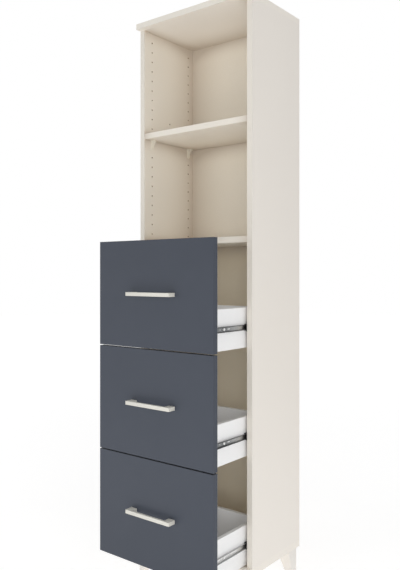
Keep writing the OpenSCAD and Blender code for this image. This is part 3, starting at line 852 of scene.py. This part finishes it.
def rolledRail(path, box, cutters):
    # drawn with x from the wall, y from the rail's front end, and z from its middle
    bm = bmesh.new()
    line = [bm.verts.new((x * mm, 0, z * mm)) for x, z in path]
    edges = [bm.edges.new(pair) for pair in zip(line, line[1:])]
    raised = bmesh.ops.extrude_edge_only(bm, edges=edges)
    bmesh.ops.translate(bm, vec=(0, box[1].y - box[0].y, 0), verts=vertsOf(raised))
    bmesh.ops.recalc_face_normals(bm, faces=bm.faces)
    soften(bm, [e for e in bm.edges if e.is_manifold], *rail["bend"])
    return meshFrom(combine(bm, cutters, "DIFFERENCE", rail["sheet"]))


def across(y, radius):
    near, far = rail["cutDepth"]
    return rod(radius, Vector((near, y, 0)), Vector((far, y, 0)), Vector((1, 0, 0)))


def slotCutter(y, length, radius):
    bm = across(0, radius)
    bmesh.ops.translate(bm, vec=(0, length, 0), verts=[v for v in bm.verts if v.co.y > meshing["touch"]])
    bmesh.ops.translate(bm, vec=(0, y, 0), verts=bm.verts)
    return bm


def screwCutters(bm, boxes, railBox):
    for low, high in boxes:
        addTo(bm, across((low.y + high.y) / 2 - railBox[0].y, rail["screwRadius"]))
    return bm


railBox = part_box("bottom_box_rails")
railScrews = [box for box in solidBoxes("bottom_rail_screws") if box[0].x > 0]
boxCutters = across(rail["ringHole"], rail["ringRadius"])
addTo(boxCutters, slotCutter(rail["slot"], rail["slotLength"], rail["slotRadius"]))
boxRail = rolledRail(rail["boxPath"], railBox, screwCutters(boxCutters, railScrews, railBox))

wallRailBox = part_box("bottom_cabinet_rails")
wallScrews = [box for box in solidBoxes("cabinet_rail_screws") if box[0].x > 0 and box[1].z < railBox[1].z]
wallRail = rolledRail(rail["cabinetPath"], wallRailBox, screwCutters(bmesh.new(), wallScrews, wallRailBox))

for drawer in drawers:
    # the bottom runners take the lighter zinc, a painted reflection of the floor
    look = "zincFloorReflection" if drawer == "bottom" else "zinc"
    for template, node, body, name in (
        (boxRail, "_box_rails", drawer + "_drawer", "_runner_box_rails"),
        (wallRail, "_cabinet_rails", "carcass", "_runner_wall_rails"),
    ):
        low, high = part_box(drawer + node)
        places = [onWall(side, low.y, (low.z + high.z) / 2) for side in walls]
        finishPiece(drawer + name, stamped(template, places), look, body, [drawer + node])
dressNode("rail_end_pieces", "blackPlastic", rail["endPieceEdge"])
print("runners made")


# Screws with a cross recess
screw = {
    "wall": {"shank": 1.75 * mm, "head": 3.5 * mm, "height": 0.0, "axis": "x", "way": 1},
    "box": {"shank": 1.75 * mm, "head": 4.3 * mm, "height": 3.0 * mm, "axis": "x", "way": -1},
    "front": {"shank": 1.75 * mm, "head": 3.5 * mm, "height": 2.0 * mm, "axis": "y", "way": -1},
    "handle": {"shank": 2.0 * mm, "head": 4.5 * mm, "height": 2.2 * mm, "axis": "y", "way": -1},
    "panHead": ((0, 1), (0.55, 0.97), (0.85, 0.78), (1, 0.35), (1, 0)),  # shares of its radius and height
    "rim": 0.05 * mm,
    "point": 1.5 * mm,
    "tip": 0.2 * mm,
    "recessHead": 3.5 * mm,    # a head of this radius has the recess below, others one to scale
    "recessWide": 1.45 * mm,
    "recessThin": 0.26 * mm,
    "recessDeep": 0.8 * mm,
    "recessTaper": 0.55,
    "recessClear": 1 * mm,
    "steps": 28,
}


def crossCutter(scale):
    # a tapered cross that enters the head from z below 0
    wide, thin, clear = screw["recessWide"] * scale, screw["recessThin"] * scale, screw["recessClear"]
    quarter = [(wide, -thin), (wide, thin), (thin, thin)]
    bm = bmesh.new()
    ring = []
    for turn in range(4):
        spinBy = Matrix.Rotation(turn * math.pi / 2, 2)
        ring += [bm.verts.new((*(spinBy @ Vector(point)), -clear)) for point in quarter]
    raised = vertsOf(bmesh.ops.extrude_face_region(bm, geom=[bm.faces.new(ring)]))
    bmesh.ops.translate(bm, vec=(0, 0, screw["recessDeep"] + clear), verts=raised)
    bmesh.ops.scale(bm, vec=(screw["recessTaper"], screw["recessTaper"], 1), verts=raised)
    closeUp(bm)
    return bm


def screwTemplate(kind, node):
    # drawn along +z; a pan head lies below z = 0, and a countersunk head, of no height, is flush with it
    size = screw[kind]
    shank, head, height = size["shank"], size["head"], size["height"]
    low, high = [getattr(corner, size["axis"]) for corner in solidBoxes(node)[0]]
    length = high - low - height
    if height:
        profile = [(head * share, -height * rise) for share, rise in screw["panHead"]] + [(shank, 0)]
    else:
        profile = [(0, 0), (head - screw["rim"], 0), (head, screw["rim"]), (shank, head - shank)]
    profile += [(shank, length - screw["point"]), (screw["tip"], length), (0, length)]
    bm = spunShape(profile, screw["steps"])
    tool = crossCutter(head / screw["recessHead"])
    bmesh.ops.translate(tool, vec=(0, 0, -height), verts=tool.verts)
    return meshFrom(combine(bm, tool, "DIFFERENCE"))


def screwPlaces(kind, node):
    # the point under each head, turned the way that the screw runs; on x, way 1 is outwards
    axis, way, height = screw[kind]["axis"], screw[kind]["way"], screw[kind]["height"]
    places = []
    for low, high in solidBoxes(node):
        sign = way if axis == "y" or low.x > 0 else -way
        point, along = (low + high) / 2, Vector((0, 0, 0))
        setattr(point, axis, getattr(low if sign > 0 else high, axis) + sign * height)
        setattr(along, axis, sign)
        places.append(alongAxis(point, along))
    return places


def makeScrews(name, template, kind, node, body):
    finishPiece(name, stamped(template, screwPlaces(kind, node)), "screwZinc", body, [node])


wallScrew = screwTemplate("wall", "cabinet_rail_screws")
makeScrews("runner_wall_screws", wallScrew, "wall", "cabinet_rail_screws", "carcass")
screwSets = [(kind, screwTemplate(kind, "bottom" + node), node, name) for kind, node, name in (
    ("box", "_rail_screws", "_runner_box_screws"),
    ("front", "_front_screws", "_front_fixing_screws"),
    ("handle", "_handle_screws", "_handle_fixing_screws"),
)]
for drawer in drawers:
    for kind, template, node, name in screwSets:
        makeScrews(drawer + name, template, kind, drawer + node, drawer + "_drawer")
print("screws made")


# The photograph's view
view = {
    "at": (1.2792, -1.5651, 0.9948),
    "tilt": 90,           # level
    "turn": 37.32,
    "focal": 640.4,       # pixels of the 400 x 570 picture
    "middle": (220.7, 274.3),
    "picture": (400, 570),
    "sensor": 36,
    "clipEnd": 60,
}

camera = linked("camera", bpy.data.cameras.new("camera"))
camera.location = view["at"]
camera.rotation_euler = (math.radians(view["tilt"]), 0, math.radians(view["turn"]))
wide, tall = view["picture"]
camera.data.sensor_width = view["sensor"]
camera.data.lens = view["focal"] * view["sensor"] / tall
camera.data.shift_x = (wide / 2 - view["middle"][0]) / tall
camera.data.shift_y = (view["middle"][1] - tall / 2) / tall
camera.data.clip_end = view["clipEnd"]
scene.camera = camera
scene.view_settings.view_transform = "Standard"

studio = {
    "bounces": 12,
    "diffuseBounces": 10,  # light has to find its way behind the drawers
    "skyLight": 0.43,
    "floorColour": (0.85, 0.85, 0.85, 1.0),
    "floorRoughness": 0.9,
    "floorSize": 14.0,
    "floorSteps": 64,
    # strength of the floor's white by metres from the middle, which makes up for light that fades
    "floorGlow": {"From Min": 1.0, "From Max": 6.0, "To Min": 3.57, "To Max": 4.75},
    "floorShare": 0.15,    # how much of the floor's picture is that white, the rest takes the shadow
}
softboxes = {  # place, what it is aimed at, size and power
    "rightBox": ((3.15, -2.8, 1.3), (0.0, 0.0, 0.9), (2.4, 2.0), 52),
    "sideBox": ((4.2, -0.5, 1.0), (0.0, 0.0, 0.9), (2.0, 1.8), 9.5),
    "leftBox": ((-2.4, -3.6, 1.0), (0.0, 0.0, 0.9), (2.0, 1.8), 20),
    "lowBox": ((0.0, 0.0, 0.01), (0.0, 0.0, 1.0), (3.0, 3.0), 9.5),
    "lowFrontBox": ((0.3, -1.6, 0.01), (0.3, -1.6, 1.0), (3.0, 1.9), 14.5),
    "topBox": ((0.0, -0.3, 5.2), (0.0, -0.3, 0.0), (4.0, 4.0), 48),
}
scene.cycles.max_bounces = studio["bounces"]
scene.cycles.diffuse_bounces = studio["diffuseBounces"]


def seenRays(tree):
    # 1 for rays from the camera, and for those seen in a reflection or through glass
    path = addNode(tree, "ShaderNodeLightPath")
    first, both = [addNode(tree, "ShaderNodeMath", operation="MAXIMUM") for i in range(2)]
    wire(tree, (path.outputs["Is Camera Ray"], first.inputs[0]),
         (path.outputs["Is Glossy Ray"], first.inputs[1]), (first.outputs[0], both.inputs[0]),
         (path.outputs["Is Transmission Ray"], both.inputs[1]))
    return both.outputs[0]


def pickShader(tree, share, usual, seen, end):
    # mixes what is seen into the usual shader
    pick = addNode(tree, "ShaderNodeMixShader")
    wire(tree, (share, pick.inputs[0]), (usual.outputs[0], pick.inputs[1]), (seen.outputs[0], pick.inputs[2]),
         (pick.outputs[0], end))


white = (1, 1, 1, 1)
scene.world = bpy.data.worlds.new("studioWorld")
scene.world.use_nodes = True
tree = scene.world.node_tree
tree.nodes.clear()
lightSky = addNode(tree, "ShaderNodeBackground", {"Color": white, "Strength": studio["skyLight"]})
whiteSky = addNode(tree, "ShaderNodeBackground", {"Color": white, "Strength": 1.0})
pickShader(tree, seenRays(tree), lightSky, whiteSky, addNode(tree, "ShaderNodeOutputWorld").inputs["Surface"])

bm = bmesh.new()
bmesh.ops.create_circle(bm, cap_ends=True, segments=studio["floorSteps"], radius=studio["floorSize"])
floor = linked("studioFloor", meshFrom(bm, "studioFloor"))
paper = bpy.data.materials.new("paperFloor")
paper.use_nodes = True
tree = paper.node_tree
matt = tree.nodes["Principled BSDF"]
matt.inputs["Base Color"].default_value = studio["floorColour"]
matt.inputs["Roughness"].default_value = studio["floorRoughness"]
matt.inputs["Specular IOR Level"].default_value = 0.0
away = addNode(tree, "ShaderNodeVectorMath", operation="LENGTH")
outward = addNode(tree, "ShaderNodeMapRange", studio["floorGlow"])
glow = addNode(tree, "ShaderNodeEmission", {"Color": white})
share = addNode(tree, "ShaderNodeMath", {1: studio["floorShare"]}, operation="MULTIPLY")
wire(tree, (addNode(tree, "ShaderNodeTexCoord").outputs["Object"], away.inputs[0]),
     (away.outputs["Value"], outward.inputs["Value"]), (outward.outputs["Result"], glow.inputs["Strength"]),
     (seenRays(tree), share.inputs[0]))
pickShader(tree, share.outputs[0], matt, glow, tree.nodes["Material Output"].inputs["Surface"])
floor.data.materials.append(paper)

for name, (at, aim, size, power) in softboxes.items():
    light = bpy.data.lights.new(name, "AREA")
    light.shape = "RECTANGLE"
    light.size, light.size_y = size
    light.energy = power
    lamp = linked(name, light)
    lamp.location = at
    lamp.rotation_euler = (Vector(aim) - Vector(at)).to_track_quat("-Z", "Y").to_euler()
    lamp.visible_camera = False
print("studio ready")
